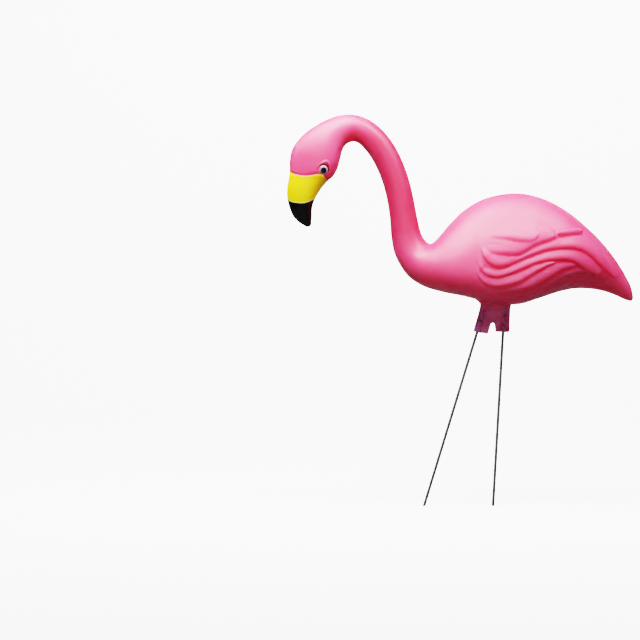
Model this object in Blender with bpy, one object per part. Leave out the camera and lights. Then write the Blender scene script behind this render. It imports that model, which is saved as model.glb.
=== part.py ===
"""A pink flamingo lawn ornament: a blow-moulded plastic bird on two steel rods that push into the lawn.

The bird faces -X and its left and right halves mirror each other across the XZ plane. The ground is z = 0,
where the rods are cut off flat, and the origin lies midway between the two rods there.
"""

import math
from collections import namedtuple

import bmesh
import bpy
import numpy as np
from mathutils import Matrix, Vector

# Driving sizes, in metres and degrees
BIRD_LENGTH = 0.605  # front of the beak to the tip of the tail
HIP_HEIGHT = 0.3045  # ground to the socket mouths, where the rods come out
MOUTH_SPACING = 0.0452  # between the two socket mouths
FRONT_RAKE = 17.0  # lean of the front rod, its foot towards the beak
REAR_RAKE = 3.3  # lean of the rear rod, the same way
ROD_DIAMETER = 0.0048
ROD_CLEARANCE = 0.0003  # gap round a rod in its socket, and over its top
ROD_GRIP = 0.046  # length of rod inside its socket
SOCKET_WALL = 0.0038  # plastic round the rod
SOCKET_CHAMFER = 0.0008  # at the socket mouth
WEB_THICKNESS = 0.0075  # flat web between and beside the two sockets
FOOT_SLANT = 0.6  # slant of the web's lower edge under each rod, as a share of the rod's lean
NOTCH_WIDTH = 0.0140  # of the arched notch between the sockets, at its foot
NOTCH_HEIGHT = 0.0160
NOTCH_RADIUS = 0.0042
NOTCH_SETBACK = 0.0026  # from the hip to the middle of the notch, towards the tail
NOTCH_LEAN = 0.0018  # how much further back the arch is than the foot of the notch
PINCH_RADIUS = 0.0024  # round pinch marks that grip the rods
PINCH_DEPTH = 0.0012
PINCH_HEIGHTS = (0.012, 0.026)  # distance of the pinch marks from the mouth, along the rod

# Fineness of the solids
RING_PITCH = 0.0019  # spacing of the rings along the bird before it is thinned
RING_POINTS = 184
SIDE_CROWDING = 0.14  # draws the ring points together on the flanks, where the wings are
BIRD_TRIANGLES = 8200
SMOOTHING = 0.5  # softens the carving's edges before the thinning
SMOOTHING_ROUNDS = 4
PATH_STEPS = 10  # between two given points of a carved stroke
SECTION_STEPS = 40  # between two given sections
END_RINGS = 5
END_BULGE = 0.5  # roundness of the beak's and the tail's ends
ROD_SIDES = 20
PINCH_SIDES = 10
WEB_SIDES = 36
WEB_SQUARENESS = 5.0  # power of the superellipse that rounds the web's edges
ARCH_STEPS = 6

# The bird is drawn in millimetres from the hip, the point midway between the socket mouths: x to the tail, z up.
# Each section crosses the bird from its back to its belly. It is an ellipse of the given half width, drawn into
# an egg: its widest place lies this share of the half depth below the middle.
SECTIONS = (
    # name, back x, back z, belly x, belly z, half width, egg share
    ("beak tip", -323.0, 185.0, -313.5, 187.5, 4.0, 0.0),
    ("beak hook", -334.0, 192.0, -312.5, 201.0, 8.5, 0.08),
    ("beak end", -344.5, 203.0, -312.0, 213.5, 12.5, 0.12),
    ("black root", -350.5, 217.0, -310.0, 224.5, 15.5, 0.15),
    ("beak band", -354.5, 233.5, -304.5, 237.0, 18.5, 0.18),
    ("beak middle", -355.0, 252.0, -295.0, 252.0, 21.0, 0.2),
    ("beak root", -352.5, 267.0, -284.5, 264.0, 23.0, 0.24),
    ("brow", -350.5, 279.0, -275.0, 272.5, 25.5, 0.3),
    ("face", -350.5, 298.5, -267.5, 286.0, 28.0, 0.35),
    ("forehead", -345.5, 321.0, -262.5, 303.5, 29.0, 0.36),
    ("crown", -328.0, 344.0, -258.5, 318.5, 28.0, 0.3),
    ("nape", -298.5, 365.0, -253.0, 327.5, 25.5, 0.18),
    ("arch front", -266.0, 378.5, -246.0, 332.0, 24.0, 0.06),
    ("arch top", -238.0, 380.0, -237.5, 333.5, 23.5, 0.0),
    ("arch back", -211.5, 371.0, -228.5, 329.5, 23.5, 0.0),
    ("neck upper", -190.0, 354.5, -219.0, 320.0, 23.5, 0.0),
    ("neck bend", -171.0, 331.5, -209.0, 307.0, 23.5, 0.0),
    ("neck back", -155.5, 303.0, -199.0, 289.0, 23.5, 0.0),
    ("neck middle", -143.0, 269.5, -189.0, 265.0, 23.5, 0.0),
    ("neck lower", -135.0, 238.0, -181.5, 238.0, 23.5, 0.0),
    ("neck straight", -128.5, 204.0, -175.5, 203.0, 24.0, 0.0),
    ("neck base", -121.5, 174.0, -172.5, 166.0, 26.0, 0.0),
    ("throat", -113.0, 159.5, -167.0, 138.0, 29.0, 0.02),
    ("valley", -105.0, 154.5, -157.0, 117.0, 34.0, 0.06),
    ("breast upper", -97.0, 159.0, -142.0, 97.0, 42.0, 0.12),
    ("breast", -86.5, 170.0, -116.5, 80.5, 53.0, 0.2),
    ("breast lower", -70.0, 189.5, -82.0, 70.0, 64.0, 0.34),
    ("shoulder", -46.5, 212.0, -49.0, 63.5, 73.0, 0.42),
    ("back rise", -15.0, 231.0, -14.0, 55.0, 78.0, 0.46),
    ("back top", 20.0, 240.5, 17.5, 48.5, 80.0, 0.46),
    ("back crest", 56.0, 242.0, 52.5, 49.5, 79.0, 0.43),
    ("saddle", 95.5, 232.0, 87.5, 60.0, 74.5, 0.34),
    ("rump", 134.0, 211.0, 121.0, 71.0, 66.0, 0.2),
    ("rump lower", 168.0, 183.5, 150.5, 76.5, 54.0, 0.08),
    ("tail root", 196.5, 155.0, 178.5, 75.5, 41.0, 0.0),
    ("tail", 219.5, 126.0, 203.0, 70.5, 29.0, 0.0),
    ("tail narrow", 236.5, 99.0, 222.0, 63.5, 18.5, 0.0),
    ("tail end", 247.0, 77.0, 236.0, 57.0, 10.5, 0.0),
    ("tail tip", 250.0, 62.0, 245.5, 54.5, 5.0, 0.0),
)
BELLY_LEVEL = 49.0  # height of the belly over the socket mouths in that drawing

# A carved stroke follows (x, z, half width) points on each flank. It stands out by its height, or sinks in
# where that is below zero. Edge is the share of the half width that it takes to rise, and tilt moves its
# crest to the lower side.
Stroke = namedtuple("Stroke", "name height edge tilt points")

# Broad forms and hollows, which add up
GROUND = (
    Stroke("wing shield", 2.2, 0.16, 0.0, ((12, 152, 38), (45, 160, 35), (85, 160, 20), (110, 158, 8))),
    Stroke("flight bed", -1.6, 0.5, 0.0, (
        (-8, 96, 22), (20, 88, 30), (60, 104, 34), (100, 124, 36), (140, 128, 36), (175, 112, 26), (196, 96, 14))),
    Stroke("eye hollow", -1.2, 0.4, 0.0, ((-291.5, 286, 10.5), (-291.4, 286, 10.5))),
    Stroke("beak crease", -1.4, 1.0, 0.0, (
        (-352, 280, 2.6), (-345, 277, 2.6), (-327, 273, 2.6), (-311.5, 274, 2.6), (-297.5, 275, 2.6), (-285, 268, 2.6))),
)

# Feathers and the eye, which stand on that ground; where two meet, the higher hides the lower
RIDGES = (
    Stroke("tail streak", 2.6, 1.0, 0.0, (
        (133, 81, 3.5), (163.5, 81.5, 5), (191, 75.5, 5), (211.5, 68, 4), (227, 60.5, 2))),
    Stroke("low streak", 3.6, 1.0, 0.2, (
        (57.5, 61, 3.5), (80, 69, 5), (100.5, 78.5, 6), (121, 88.5, 6), (141.5, 95, 5), (160, 98, 3.5))),
    Stroke("middle streak", 4.4, 1.0, 0.2, (
        (3, 63.5, 3.5), (30.5, 63.5, 5), (56, 70.5, 6), (78, 81, 6.5), (98.5, 92, 6.5), (116, 100.5, 6),
        (134.5, 106.5, 5), (148.5, 108, 2.5))),
    Stroke("high streak", 5.2, 1.0, 0.2, (
        (-17.5, 79, 3.5), (1.5, 71.5, 5), (23.5, 72, 8), (46, 79, 10), (66.5, 90, 11), (85, 102, 10.5),
        (102, 110.5, 9), (119, 115, 7), (134.5, 114, 4))),
    Stroke("third flight feather", 5.2, 1.0, 0.2, (
        (-24, 103, 3.5), (-14, 91, 5), (5, 86.5, 7), (27, 90, 8.5), (49, 99, 9), (69.5, 110, 8.5),
        (88.5, 118.5, 6.5), (105.5, 123, 3))),
    Stroke("second flight feather", 5.4, 1.0, 0.2, (
        (-26, 127, 3.5), (-20, 111.5, 5), (-9, 102, 6), (5, 99.5, 6.5), (23.5, 103.5, 8), (46, 114.5, 8.5),
        (69.5, 126, 8), (92, 133, 8), (114, 136, 9.5), (138, 133.5, 11.5), (157, 124.5, 11.5), (170.5, 113, 9.5),
        (179, 104.5, 7))),
    Stroke("first flight feather", 5.4, 1.0, 0.2, (
        (28.5, 119, 5), (44, 127, 6), (61, 136, 7), (81.5, 144, 7), (105.5, 151.5, 8.5), (131, 155, 11),
        (153.5, 151.5, 12.5), (174, 138, 12.5), (191, 122, 11.5), (202, 107, 9.5), (208, 98, 7))),
    Stroke("low covert", 3.2, 0.7, 0.7, ((-17.5, 133.5, 7), (-9, 122.5, 11), (6.5, 118, 11.5), (22, 120, 9.5),
                                         (32, 123.5, 5))),
    Stroke("middle covert", 3.4, 0.7, 0.8, ((-21.5, 151, 7), (-5.5, 144, 11), (15, 140.5, 10.5), (35.5, 139, 10),
                                            (49, 142, 7))),
    Stroke("tucked covert", 3.6, 0.8, 0.6, ((37, 146.5, 5), (57.5, 148, 7), (78, 156, 7), (93.5, 161.5, 6))),
    Stroke("far covert", 4.0, 0.8, 0.7, ((104, 168, 5), (133, 172, 6.5), (154, 172.5, 5))),
    Stroke("covert tip", 3.8, 0.7, 0.7, ((75, 168, 9.5), (90, 170, 11), (100.5, 168.5, 9))),
    Stroke("high covert", 4.0, 0.6, 0.8, ((-14, 164.5, 8.5), (10, 169.5, 12), (34, 170.5, 14.5), (54.5, 171, 15.5),
                                          (69.5, 173, 10))),
    Stroke("eyelid", 1.8, 1.0, 0.0, ((-302, 288, 3), (-297.5, 295.5, 3.4), (-289, 298, 3.4), (-281.5, 292, 3))),
    Stroke("eyeball", 3.2, 0.7, 0.0, ((-291.5, 286, 7.6), (-291.4, 286, 7.6))),
)
FLANK_START = 0.12  # sideways lean of the surface at which the carving starts to show
FLANK_FULL = 0.52  # and where it reaches its full height

# Levels of the web, from below its trimmed feet up into the belly: height as a share of the belly's, how far
# the web runs past the front and the rear rod, in millimetres of the drawing, and its thickness as a share
WEB_LEVELS = (
    (-0.16, 7.3, 11.6, 0.95),
    (0.69, 7.8, 10.4, 1.05),
    (0.90, 8.4, 10.9, 1.5),
    (1.06, 12.8, 14.4, 2.8),
    (1.20, 21.4, 20.0, 4.4),
    (1.47, 29.4, 23.2, 5.0),
)

PINK = (0.80, 0.115, 0.30, 1.0)
STEEL = (0.055, 0.052, 0.050, 1.0)


def drawn_length():
    """Beak to tail in the drawing, in millimetres."""
    reach = [x for _, back_x, _, belly_x, _, _, _ in SECTIONS for x in (back_x, belly_x)]
    return max(reach) - min(reach)


# What follows from the driving sizes
SCALE = BIRD_LENGTH / drawn_length()  # metres for each drawn millimetre
FRONT_FOOT = -MOUTH_SPACING / 2 - HIP_HEIGHT * math.tan(math.radians(FRONT_RAKE))
REAR_FOOT = MOUTH_SPACING / 2 - HIP_HEIGHT * math.tan(math.radians(REAR_RAKE))
HIP = Vector((-(FRONT_FOOT + REAR_FOOT) / 2, 0, HIP_HEIGHT))  # puts the origin midway between the feet
ROD_RADIUS = ROD_DIAMETER / 2
BORE_RADIUS = ROD_RADIUS + ROD_CLEARANCE
SOCKET_RADIUS = BORE_RADIUS + SOCKET_WALL

Rod = namedtuple("Rod", "mouth direction")  # where it leaves its socket, from the hip, and its way up


def rod_line(mouth_x, rake):
    """The line of a rod whose mouth lies at mouth_x from the hip."""
    lean = math.radians(rake)
    return Rod(Vector((mouth_x, 0, 0)), Vector((math.sin(lean), 0, math.cos(lean))))


FRONT_ROD = rod_line(-MOUTH_SPACING / 2, FRONT_RAKE)
REAR_ROD = rod_line(MOUTH_SPACING / 2, REAR_RAKE)


def smooth_path(points, steps):
    """Points on a smooth curve through the given ones, with this many steps between each two."""
    known = np.array(points, float)
    known = np.vstack([2 * known[0] - known[1], known, 2 * known[-1] - known[-2]])
    curve = []
    for before, start, end, after in zip(known, known[1:], known[2:], known[3:]):
        gaps = [math.sqrt(np.linalg.norm(b - a)) for a, b in ((before, start), (start, end), (end, after))]
        leave = (start - before) / gaps[0] - (end - before) / (gaps[0] + gaps[1]) + (end - start) / gaps[1]
        reach = (end - start) / gaps[1] - (after - start) / (gaps[1] + gaps[2]) + (after - end) / gaps[2]
        for t in np.arange(steps) / steps:
            curve.append(
                (2 * t**3 - 3 * t**2 + 1) * start
                + (t**3 - 2 * t**2 + t) * leave * gaps[1]
                + (3 * t**2 - 2 * t**3) * end
                + (t**3 - t**2) * reach * gaps[1]
            )
    curve.append(known[-2])
    return np.array(curve)


def stroke_lift(stroke, x, z):
    """How far one carved stroke stands out at each drawn point, in drawn millimetres."""
    path = smooth_path(stroke.points, PATH_STEPS)
    heading = np.gradient(path[:, :2], axis=0)
    heading /= np.linalg.norm(heading, axis=1)[:, None]
    offset_x = x[:, None] - path[:, 0]
    offset_z = z[:, None] - path[:, 1]
    distance = np.hypot(offset_x, offset_z) / path[:, 2]
    nearest = distance.argmin(axis=1)
    rows = np.arange(len(x))
    inside = np.clip((1 - distance[rows, nearest]) / stroke.edge, 0, 1)
    below = (offset_x * heading[:, 1] - offset_z * heading[:, 0])[rows, nearest] / path[nearest, 2]
    slimness = np.sqrt(path[nearest, 2] / path[:, 2].max())
    return stroke.height * slimness * inside * (2 - inside) * (1 + stroke.tilt * np.clip(below, -1, 1))


def carved_lift(x, z):
    """How far all the carving stands out of the flank at each drawn point."""
    ground = sum(stroke_lift(stroke, x, z) for stroke in GROUND)
    ridges = np.max([stroke_lift(stroke, x, z) for stroke in RIDGES], axis=0)
    return ground + ridges


def section_ring(section, turn):
    """The carved ring of one section, as points in metres round the hip."""
    back = section[0:2]
    belly = section[2:4]
    half_width = section[4]
    egg = section[5]
    half_depth = (back - belly) / 2
    depth = np.linalg.norm(half_depth)
    drawn = (back + belly) / 2 + (np.cos(turn) - egg * np.sin(turn) ** 2)[:, None] * half_depth
    across = np.sin(turn) * half_width
    outward = np.stack([half_width * np.cos(turn), depth * np.sin(turn) * (1 + 2 * egg * np.cos(turn))])
    outward /= np.linalg.norm(outward, axis=0)
    flank = np.clip((np.abs(outward[1]) - FLANK_START) / (FLANK_FULL - FLANK_START), 0, 1)
    half = len(turn) // 2 + 1
    one_side = carved_lift(drawn[:half, 0], drawn[:half, 1])
    lift = np.concatenate([one_side, one_side[-2:0:-1]]) * flank
    drawn = drawn + (lift * outward[0])[:, None] * half_depth / depth
    across = across + lift * outward[1]
    return np.stack([drawn[:, 0], across, drawn[:, 1]], axis=1) * SCALE


def bird_rings():
    """The bird's rings from beak to tail, evenly spaced along it."""
    outline = smooth_path([section[1:] for section in SECTIONS], SECTION_STEPS)
    back_steps = np.linalg.norm(np.diff(outline[:, 0:2], axis=0), axis=1)
    belly_steps = np.linalg.norm(np.diff(outline[:, 2:4], axis=0), axis=1)
    along = np.concatenate([[0], np.cumsum(np.maximum(back_steps, belly_steps))]) * SCALE
    places = np.linspace(0, along[-1], int(along[-1] / RING_PITCH))
    sections = np.stack([np.interp(places, along, column) for column in outline.T], axis=1)
    turn = np.linspace(0, 2 * math.pi, RING_POINTS, endpoint=False)
    turn = turn + SIDE_CROWDING * np.sin(2 * turn)
    return [section_ring(section, turn) for section in sections]


def rounded_end(ring, inner_ring):
    """Rings that round off an end, each smaller than the one before."""
    centre = ring.mean(axis=0)
    outward = centre - inner_ring.mean(axis=0)
    outward /= np.linalg.norm(outward)
    reach = END_BULGE * np.linalg.norm(ring - centre, axis=1).min()
    angles = 0.5 * math.pi * np.arange(1, END_RINGS) / END_RINGS
    return [centre + (ring - centre) * math.cos(angle) + outward * reach * math.sin(angle) for angle in angles]


def loft(name, rings):
    """A closed mesh through rings of equal length, with a flat face over the first and the last."""
    shape = bmesh.new()
    loops = [[shape.verts.new(point) for point in ring] for ring in rings]
    for lower, upper in zip(loops, loops[1:]):
        for i in range(len(lower)):
            shape.faces.new((lower[i - 1], lower[i], upper[i], upper[i - 1]))
    shape.faces.new(loops[0])
    shape.faces.new(loops[-1])
    bmesh.ops.recalc_face_normals(shape, faces=shape.faces)
    return finished_mesh(name, shape)


def finished_mesh(name, shape):
    """A mesh of the shape's faces."""
    mesh = bpy.data.meshes.new(name)
    shape.to_mesh(mesh)
    shape.free()
    return mesh


def placed(start, direction):
    """A matrix that stands a shape at start, its z axis along direction."""
    return Matrix.Translation(start) @ direction.to_track_quat("Z", "Y").to_matrix().to_4x4()


def make_object(name, mesh, material=None):
    """A new object at the hip. One with no material only serves a Boolean, and is hidden."""
    thing = bpy.data.objects.new(name, mesh)
    thing.location = HIP
    bpy.context.scene.collection.objects.link(thing)
    if material:
        mesh.materials.append(material)
    else:
        thing.hide_render = True
        thing.display_type = "WIRE"
    return thing


def make_material(name, colour, roughness, metallic):
    """A Principled material."""
    material = bpy.data.materials.new(name)
    material.use_nodes = True
    shader = material.node_tree.nodes["Principled BSDF"]
    shader.inputs["Base Color"].default_value = colour
    shader.inputs["Roughness"].default_value = roughness
    shader.inputs["Metallic"].default_value = metallic
    material.diffuse_color = colour
    return material


def combine(target, helper, operation):
    """Adds a Boolean of the helper to the target."""
    modifier = target.modifiers.new(f"{operation.lower()} {helper.name}", "BOOLEAN")
    modifier.operation = operation
    modifier.solver = "EXACT"
    modifier.object = helper


def make_bird(pink):
    """The bird from beak to tail, with its wings carved, thinned to the triangles that it may have."""
    rings = bird_rings()
    rings = rounded_end(rings[0], rings[2])[::-1] + rings + rounded_end(rings[-1], rings[-3])
    bird = make_object("bird", loft("bird", rings), pink)
    smoothed = bird.modifiers.new("smoothed", "SMOOTH")
    smoothed.factor = SMOOTHING
    smoothed.iterations = SMOOTHING_ROUNDS
    thinned = bird.modifiers.new("thinned", "DECIMATE")
    thinned.ratio = BIRD_TRIANGLES / (2 * RING_POINTS * len(rings))
    thinned.use_symmetry = True
    thinned.symmetry_axis = "Y"
    bird.data.shade_smooth()
    return bird


def make_web():
    """The flat web that holds both sockets, notched between them and spread out at its top into the belly."""
    turn = np.linspace(0, 2 * math.pi, WEB_SIDES, endpoint=False)
    power = 2 / WEB_SQUARENESS
    round_x = np.sign(np.cos(turn)) * np.abs(np.cos(turn)) ** power
    round_y = np.sign(np.sin(turn)) * np.abs(np.sin(turn)) ** power
    rings = []
    for share, front_margin, rear_margin, thickness in WEB_LEVELS:
        height = share * BELLY_LEVEL * SCALE
        front = -MOUTH_SPACING / 2 + height * math.tan(math.radians(FRONT_RAKE)) - front_margin * SCALE
        rear = MOUTH_SPACING / 2 + height * math.tan(math.radians(REAR_RAKE)) + rear_margin * SCALE
        x = (front + rear) / 2 + (rear - front) / 2 * round_x
        y = WEB_THICKNESS / 2 * thickness * round_y
        rings.append(np.stack([x, y, np.full_like(x, height)], axis=1))
    web = make_object("web", loft("web", rings))
    combine(web, make_trim(), "DIFFERENCE")
    return web


def foot_level(x, mouth_x, rake):
    """Height of the web's lower edge at x, under the rod whose mouth lies at mouth_x."""
    return -(x - mouth_x) * math.tan(math.radians(rake)) * FOOT_SLANT


def make_trim():
    """The cutter that trims the web's two feet and arches up between them."""
    beyond = MOUTH_SPACING
    front_end = NOTCH_SETBACK - NOTCH_WIDTH / 2
    rear_end = NOTCH_SETBACK + NOTCH_WIDTH / 2
    arch_x = NOTCH_SETBACK + NOTCH_LEAN
    arch_z = NOTCH_HEIGHT - NOTCH_RADIUS
    outline = [(beyond, -beyond), (-beyond, -beyond)]
    outline += [(x, foot_level(x, -MOUTH_SPACING / 2, FRONT_RAKE)) for x in (-beyond, front_end)]
    for step in range(ARCH_STEPS + 1):
        angle = math.pi * (1 - step / ARCH_STEPS)
        outline.append((arch_x + NOTCH_RADIUS * math.cos(angle), arch_z + NOTCH_RADIUS * math.sin(angle)))
    outline += [(x, foot_level(x, MOUTH_SPACING / 2, REAR_RAKE)) for x in (rear_end, beyond)]
    half = WEB_THICKNESS + SOCKET_RADIUS
    sides = [[(x, y, z) for x, z in outline] for y in (-half, half)]
    return make_object("trim", loft("trim", sides))


def make_socket(name, rod):
    """The round wall of a socket, with a chamfer at its mouth, spun about the rod's line."""
    top = ROD_GRIP + 2 * SOCKET_WALL
    profile = ((0, 0), (SOCKET_RADIUS - SOCKET_CHAMFER, 0), (SOCKET_RADIUS, SOCKET_CHAMFER), (SOCKET_RADIUS, top),
               (0, top))
    shape = bmesh.new()
    corners = [shape.verts.new((radius, 0, height)) for radius, height in profile]
    edges = [shape.edges.new(pair) for pair in zip(corners, corners[1:])]
    bmesh.ops.spin(
        shape, geom=corners + edges, axis=(0, 0, 1), angle=2 * math.pi, steps=ROD_SIDES, use_merge=True
    )
    bmesh.ops.remove_doubles(shape, verts=shape.verts, dist=SOCKET_CHAMFER / 100)
    bmesh.ops.dissolve_limit(shape, angle_limit=math.radians(1), verts=shape.verts, edges=shape.edges)
    bmesh.ops.recalc_face_normals(shape, faces=shape.faces)
    shape.transform(placed(rod.mouth, rod.direction))
    return make_object(name, finished_mesh(name, shape))


def make_bore(name, rod):
    """The cutter for a blind bore, open at the socket's mouth and turned half a side from the socket's wall."""
    shape = bmesh.new()
    reach = ROD_GRIP + ROD_CLEARANCE + SOCKET_RADIUS
    middle = rod.mouth + rod.direction * (reach / 2 - SOCKET_RADIUS)
    half_side = Matrix.Rotation(math.pi / ROD_SIDES, 4, "Z")
    bmesh.ops.create_cone(
        shape, cap_ends=True, segments=ROD_SIDES, radius1=BORE_RADIUS, radius2=BORE_RADIUS, depth=reach,
        matrix=placed(middle, rod.direction) @ half_side,
    )
    return make_object(name, finished_mesh(name, shape))


def make_pinch(name, rod, height, side):
    """The cutter for one round pinch mark on a side of a socket, wider outwards."""
    shape = bmesh.new()
    outward = Vector((0, side, 0))
    middle = rod.mouth + rod.direction * height + outward * SOCKET_RADIUS
    bmesh.ops.create_cone(
        shape, cap_ends=True, segments=PINCH_SIDES, radius1=PINCH_RADIUS / 2, radius2=PINCH_RADIUS * 3 / 2,
        depth=2 * PINCH_DEPTH, matrix=placed(middle, outward),
    )
    return make_object(name, finished_mesh(name, shape))


def add_socket(bird, name, rod):
    """Joins one socket to the bird, bores it for its rod and pinches its sides."""
    combine(bird, make_socket(f"{name} socket", rod), "UNION")
    combine(bird, make_bore(f"{name} bore", rod), "DIFFERENCE")
    for height in PINCH_HEIGHTS:
        for side in (-1, 1):
            combine(bird, make_pinch(f"{name} pinch", rod, height, side), "DIFFERENCE")


def make_rod(name, rod, steel):
    """One steel rod, from its end inside the socket down to its flat cut at the ground."""
    shape = bmesh.new()
    foot = rod.mouth - rod.direction * (HIP_HEIGHT / rod.direction.z)
    spare = 2 * ROD_DIAMETER
    length = (rod.mouth - foot).length + ROD_GRIP
    middle = foot + rod.direction * (length - spare) / 2
    half_side = Matrix.Rotation(math.pi / ROD_SIDES, 4, "Z")
    bmesh.ops.create_cone(
        shape, cap_ends=True, segments=ROD_SIDES, radius1=ROD_RADIUS, radius2=ROD_RADIUS, depth=length + spare,
        matrix=placed(middle, rod.direction) @ half_side,
    )
    cut = bmesh.ops.bisect_plane(
        shape, geom=shape.verts[:] + shape.edges[:] + shape.faces[:], plane_co=foot, plane_no=(0, 0, 1),
        clear_inner=True,
    )
    rim = [element for element in cut["geom_cut"] if isinstance(element, bmesh.types.BMEdge)]
    bmesh.ops.edgeloop_fill(shape, edges=rim)
    bmesh.ops.recalc_face_normals(shape, faces=shape.faces)
    mesh = finished_mesh(name, shape)
    mesh.shade_smooth()
    mesh.set_sharp_from_angle(angle=math.radians(40))
    return make_object(name, mesh, steel)


def main():
    """Builds the bird and its two rods."""
    for thing in list(bpy.data.objects):
        bpy.data.objects.remove(thing)
    pink = make_material("pink plastic", PINK, 0.38, 0.0)
    steel = make_material("steel", STEEL, 0.42, 0.9)
    bird = make_bird(pink)
    combine(bird, make_web(), "UNION")
    add_socket(bird, "front", FRONT_ROD)
    add_socket(bird, "rear", REAR_ROD)
    make_rod("front_leg", FRONT_ROD, steel)
    make_rod("rear_leg", REAR_ROD, steel)


main()
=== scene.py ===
"""The pink flamingo lawn ornament: its moulded bird, its two rods and the studio that it is seen in."""

import logging
import math
from collections.abc import Callable, Iterable, Sequence
from dataclasses import dataclass
from enum import Enum

import bmesh
import bpy
import numpy as np
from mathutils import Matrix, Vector


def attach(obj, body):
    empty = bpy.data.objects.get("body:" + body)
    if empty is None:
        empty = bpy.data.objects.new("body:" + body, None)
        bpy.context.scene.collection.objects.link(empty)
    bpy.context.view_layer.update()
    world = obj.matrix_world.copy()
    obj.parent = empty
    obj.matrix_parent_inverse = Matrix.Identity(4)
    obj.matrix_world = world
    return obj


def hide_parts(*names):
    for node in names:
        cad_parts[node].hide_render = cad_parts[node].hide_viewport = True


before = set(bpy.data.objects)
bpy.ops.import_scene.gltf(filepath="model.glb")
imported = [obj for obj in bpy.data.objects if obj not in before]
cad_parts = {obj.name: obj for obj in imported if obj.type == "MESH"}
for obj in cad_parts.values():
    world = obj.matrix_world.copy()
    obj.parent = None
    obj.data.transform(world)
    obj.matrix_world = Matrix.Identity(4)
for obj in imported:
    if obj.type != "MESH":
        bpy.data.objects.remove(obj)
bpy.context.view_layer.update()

LOG = logging.getLogger("flamingo")
Colour = tuple[float, float, float]
MM_PER_M = 1000
WELD_DISTANCE = 1e-7
STROKE_STEPS = 12
PICTURE_SIZE = 640


# Sizes that several pieces share, in metres

@dataclass(frozen=True)
class Stance:
    """Where the bird stands on its two rods.

    The bird is drawn in millimetres from the hip, the point midway between its two socket mouths: x to the
    tail, z up.
    """

    hip_height: float = 0.3045
    mouth_spacing: float = 0.0452
    front_rake: float = math.radians(17.0)
    rear_rake: float = math.radians(3.3)
    rod_radius: float = 0.0024
    rod_clearance: float = 0.0003
    rod_grip: float = 0.046
    socket_wall: float = 0.0038

    @property
    def hip(self) -> Vector:
        """The hip, with the origin midway between the rods' feet."""
        front_foot = -self.mouth_spacing / 2 - self.hip_height * math.tan(self.front_rake)
        rear_foot = self.mouth_spacing / 2 - self.hip_height * math.tan(self.rear_rake)
        return Vector((-(front_foot + rear_foot) / 2, 0, self.hip_height))

    @property
    def bore_radius(self) -> float:
        """Radius of the blind bore that holds a rod."""
        return self.rod_radius + self.rod_clearance

    @property
    def socket_radius(self) -> float:
        """Outer radius of a socket."""
        return self.bore_radius + self.socket_wall

    def placed(self, drawn: np.ndarray) -> np.ndarray:
        """Points of the drawing, (x, y, z) in millimetres from the hip, as places in metres.

        Args:
            drawn: points, with their coordinates in the last axis.

        Returns:
            The same points in the frame of the whole object.
        """
        return np.array(self.hip) + drawn / MM_PER_M


STANCE = Stance()


@dataclass(frozen=True)
class Rod:
    """The line that one rod follows."""

    name: str
    mouth_x: float
    rake: float
    pinch_heights: tuple[float, float]

    @property
    def mouth(self) -> Vector:
        """Where the rod leaves its socket."""
        return STANCE.hip + Vector((self.mouth_x, 0, 0))

    @property
    def direction(self) -> Vector:
        """The rod's way up."""
        return Vector((math.sin(self.rake), 0, math.cos(self.rake)))

    @property
    def foot(self) -> Vector:
        """Where the rod meets the ground."""
        return self.mouth - self.direction * (self.mouth.z / self.direction.z)

    @property
    def turn(self) -> tuple[float, float, float]:
        """The turn that leans an upright shape along the rod."""
        return (0.0, self.rake, 0.0)


RODS = (
    Rod("front_leg", -STANCE.mouth_spacing / 2, STANCE.front_rake, (0.0205, 0.0385)),
    Rod("rear_leg", STANCE.mouth_spacing / 2, STANCE.rear_rake, (0.0125, 0.0290)),
)


# Modelling by hand, in code

class Joining(Enum):
    """How one shape is joined to another."""

    UNION = "UNION"
    CUT = "DIFFERENCE"


def start_afresh() -> None:
    """Leaves edit mode and deselects everything."""
    if bpy.context.mode != "OBJECT":
        bpy.ops.object.mode_set(mode="OBJECT")
    bpy.ops.object.select_all(action="DESELECT")


def pick(thing: bpy.types.Object) -> None:
    """Makes one object the selected and active one."""
    start_afresh()
    thing.select_set(True)
    bpy.context.view_layer.objects.active = thing


def settle(thing: bpy.types.Object, name: str) -> bpy.types.Object:
    """Names a finished shape and moves its place and turn into its mesh."""
    pick(thing)
    bpy.ops.object.transform_apply(location=True, rotation=True, scale=True)
    thing.name = name
    thing.data.name = name
    return thing


def apply_all(thing: bpy.types.Object) -> None:
    """Applies the modifiers of an object in their order."""
    pick(thing)
    for modifier in list(thing.modifiers):
        bpy.ops.object.modifier_apply(modifier=modifier.name)


def join(target: bpy.types.Object, helper: bpy.types.Object, how: Joining) -> None:
    """Joins a helper to a target, or cuts it out, and throws the helper away.

    Args:
        target: the object that stays.
        helper: the closed shape that is joined or cut out.
        how: union or cut.
    """
    modifier = target.modifiers.new(helper.name, "BOOLEAN")
    modifier.operation = how.value
    modifier.solver = "EXACT"
    modifier.object = helper
    apply_all(target)
    bpy.data.objects.remove(helper)


def select_faces(thing: bpy.types.Object, wanted: Callable[[bmesh.types.BMFace], bool]) -> None:
    """Selects the faces of the edited mesh that a test picks, and no others."""
    mesh = bmesh.from_edit_mesh(thing.data)
    for face in mesh.faces:
        face.select_set(False)
    for face in mesh.faces:
        if wanted(face):
            face.select_set(True)
    mesh.select_flush_mode()
    bmesh.update_edit_mesh(thing.data)


def select_edges(thing: bpy.types.Object, wanted: Callable[[bmesh.types.BMEdge], bool]) -> None:
    """Selects the edges of the edited mesh that a test picks, and no others."""
    mesh = bmesh.from_edit_mesh(thing.data)
    for edge in mesh.edges:
        edge.select_set(wanted(edge))
    bmesh.update_edit_mesh(thing.data)


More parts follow.
